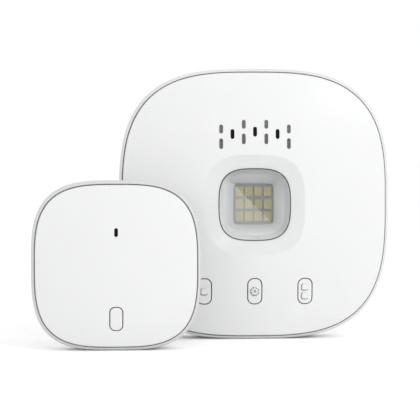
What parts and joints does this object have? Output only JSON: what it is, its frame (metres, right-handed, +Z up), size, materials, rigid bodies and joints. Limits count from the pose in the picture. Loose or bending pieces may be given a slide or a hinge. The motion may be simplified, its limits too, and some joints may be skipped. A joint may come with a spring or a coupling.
{
  "type": "garage door controller",
  "caption": "White pillow-shaped garage door hub with LED window, sound slots and push buttons, with its smaller battery door sensor, a sliding wall bracket and an adhesive mount plate.",
  "frame": {"origin": "middle of the set's base, on the surface that both units stand on", "axes": "+Z up, +X to the right seen from the front, and both fronts face -Y"},
  "size_m": [0.2016, 0.0808, 0.154],
  "materials": {
    "shell_white": "smooth satin white plastic",
    "housing_grey": "smooth pale grey plastic",
    "lens_clear": "clear polished plastic",
    "reflector_grey": "satin light grey",
    "screw_steel": "zinc plated",
    "led_board_grey": "matt grey solder mask",
    "led_yellow": "matt phosphor",
    "sink_aluminium": "plain extruded",
    "board_green": "solder mask",
    "module_blue": "solder mask",
    "shield_steel": "tinned",
    "chip_black": "matt moulding compound",
    "capacitor_blue": "sleeved",
    "wire_brass": "plain",
    "mesh_grey": "fine woven mesh",
    "pipe_black": "dark smoked plastic",
    "led_white": "matt",
    "button_white": "smooth satin white plastic",
    "bracket_grey": "fine texture",
    "cell_steel": "nickel plated",
    "cap_grey": "fine texture",
    "pad_foam": "foam tape"
  },
  "bodies": {
    "hub": {"hub_front_cover": "shell_white", "hub_back_housing": "housing_grey", "hub_window_lens": "lens_clear", "hub_reflector": "reflector_grey", "hub_reflector_screws": "screw_steel", "hub_led_board": "led_board_grey", "hub_leds": "led_yellow", "hub_heat_sink": "sink_aluminium", "hub_main_board": "board_green", "hub_board_screws": "screw_steel", "hub_wifi_board": "module_blue", "hub_wifi_shield": "shield_steel", "hub_chips": "chip_black", "hub_capacitors": "capacitor_blue", "hub_antenna": "wire_brass", "hub_sounder": "chip_black", "hub_dust_mesh": "mesh_grey", "hub_light_pipe": "pipe_black", "hub_indicator_leds": "led_white", "hub_button_switches": "shield_steel", "hub_power_socket": "shield_steel", "hub_case_screws": "screw_steel"},
    "left_button": {"hub_left_button": "button_white", "hub_left_plunger": "chip_black"},
    "settings_button": {"hub_settings_button": "button_white", "hub_settings_plunger": "chip_black"},
    "right_button": {"hub_right_button": "button_white", "hub_right_plunger": "chip_black"},
    "bracket": {"wall_bracket": "bracket_grey"},
    "sensor": {"sensor_front_cover": "shell_white", "sensor_back_housing": "housing_grey", "sensor_switch": "shield_steel", "sensor_light_pipe": "pipe_black", "sensor_indicator_led": "led_white", "sensor_board": "board_green", "sensor_board_screws": "screw_steel", "sensor_radio_module": "module_blue", "sensor_antenna": "wire_brass", "sensor_tilt_switch": "shield_steel", "sensor_coin_cell": "cell_steel", "sensor_battery_spring": "wire_brass", "sensor_battery_clip": "shield_steel", "sensor_case_screws": "screw_steel"},
    "sensor_push_button": {"sensor_button": "button_white", "sensor_plunger": "chip_black"},
    "battery_cap": {"sensor_battery_cap": "cap_grey"},
    "sensor_mount": {"sensor_mount_plate": "bracket_grey", "sensor_adhesive_pad": "pad_foam"}
  },
  "joints": [
    {"name": "left_button_press", "type": "slide", "parent": "hub", "child": "left_button", "axis": [0, 1, 0], "range_m": [0, 0.0006], "stiffness_N_per_m": 2500},
    {"name": "settings_button_press", "type": "slide", "parent": "hub", "child": "settings_button", "axis": [0, 1, 0], "range_m": [0, 0.0006], "stiffness_N_per_m": 2500},
    {"name": "right_button_press", "type": "slide", "parent": "hub", "child": "right_button", "axis": [0, 1, 0], "range_m": [0, 0.0006], "stiffness_N_per_m": 2500},
    {"name": "bracket_slide", "type": "slide", "parent": "hub", "child": "bracket", "axis": [0, 0, -1], "range_m": [0, 0.012]},
    {"name": "sensor_set_aside", "type": "slide", "parent": "hub", "child": "sensor", "axis": [-1, 0, 0], "range_m": [0, 0.1]},
    {"name": "sensor_button_press", "type": "slide", "parent": "sensor", "child": "sensor_push_button", "axis": [0, 1, 0], "range_m": [0, 0.0006], "stiffness_N_per_m": 2500},
    {"name": "battery_cap_twist", "type": "hinge", "parent": "sensor", "child": "battery_cap", "pos_m": [-0.0548, -0.0197, 0.046], "axis": [0, -1, 0], "range_deg": [0, 40]},
    {"name": "mount_plate_slide", "type": "slide", "parent": "sensor", "child": "sensor_mount", "axis": [0, 0, -1], "range_m": [0, 0.01]}
  ]
}
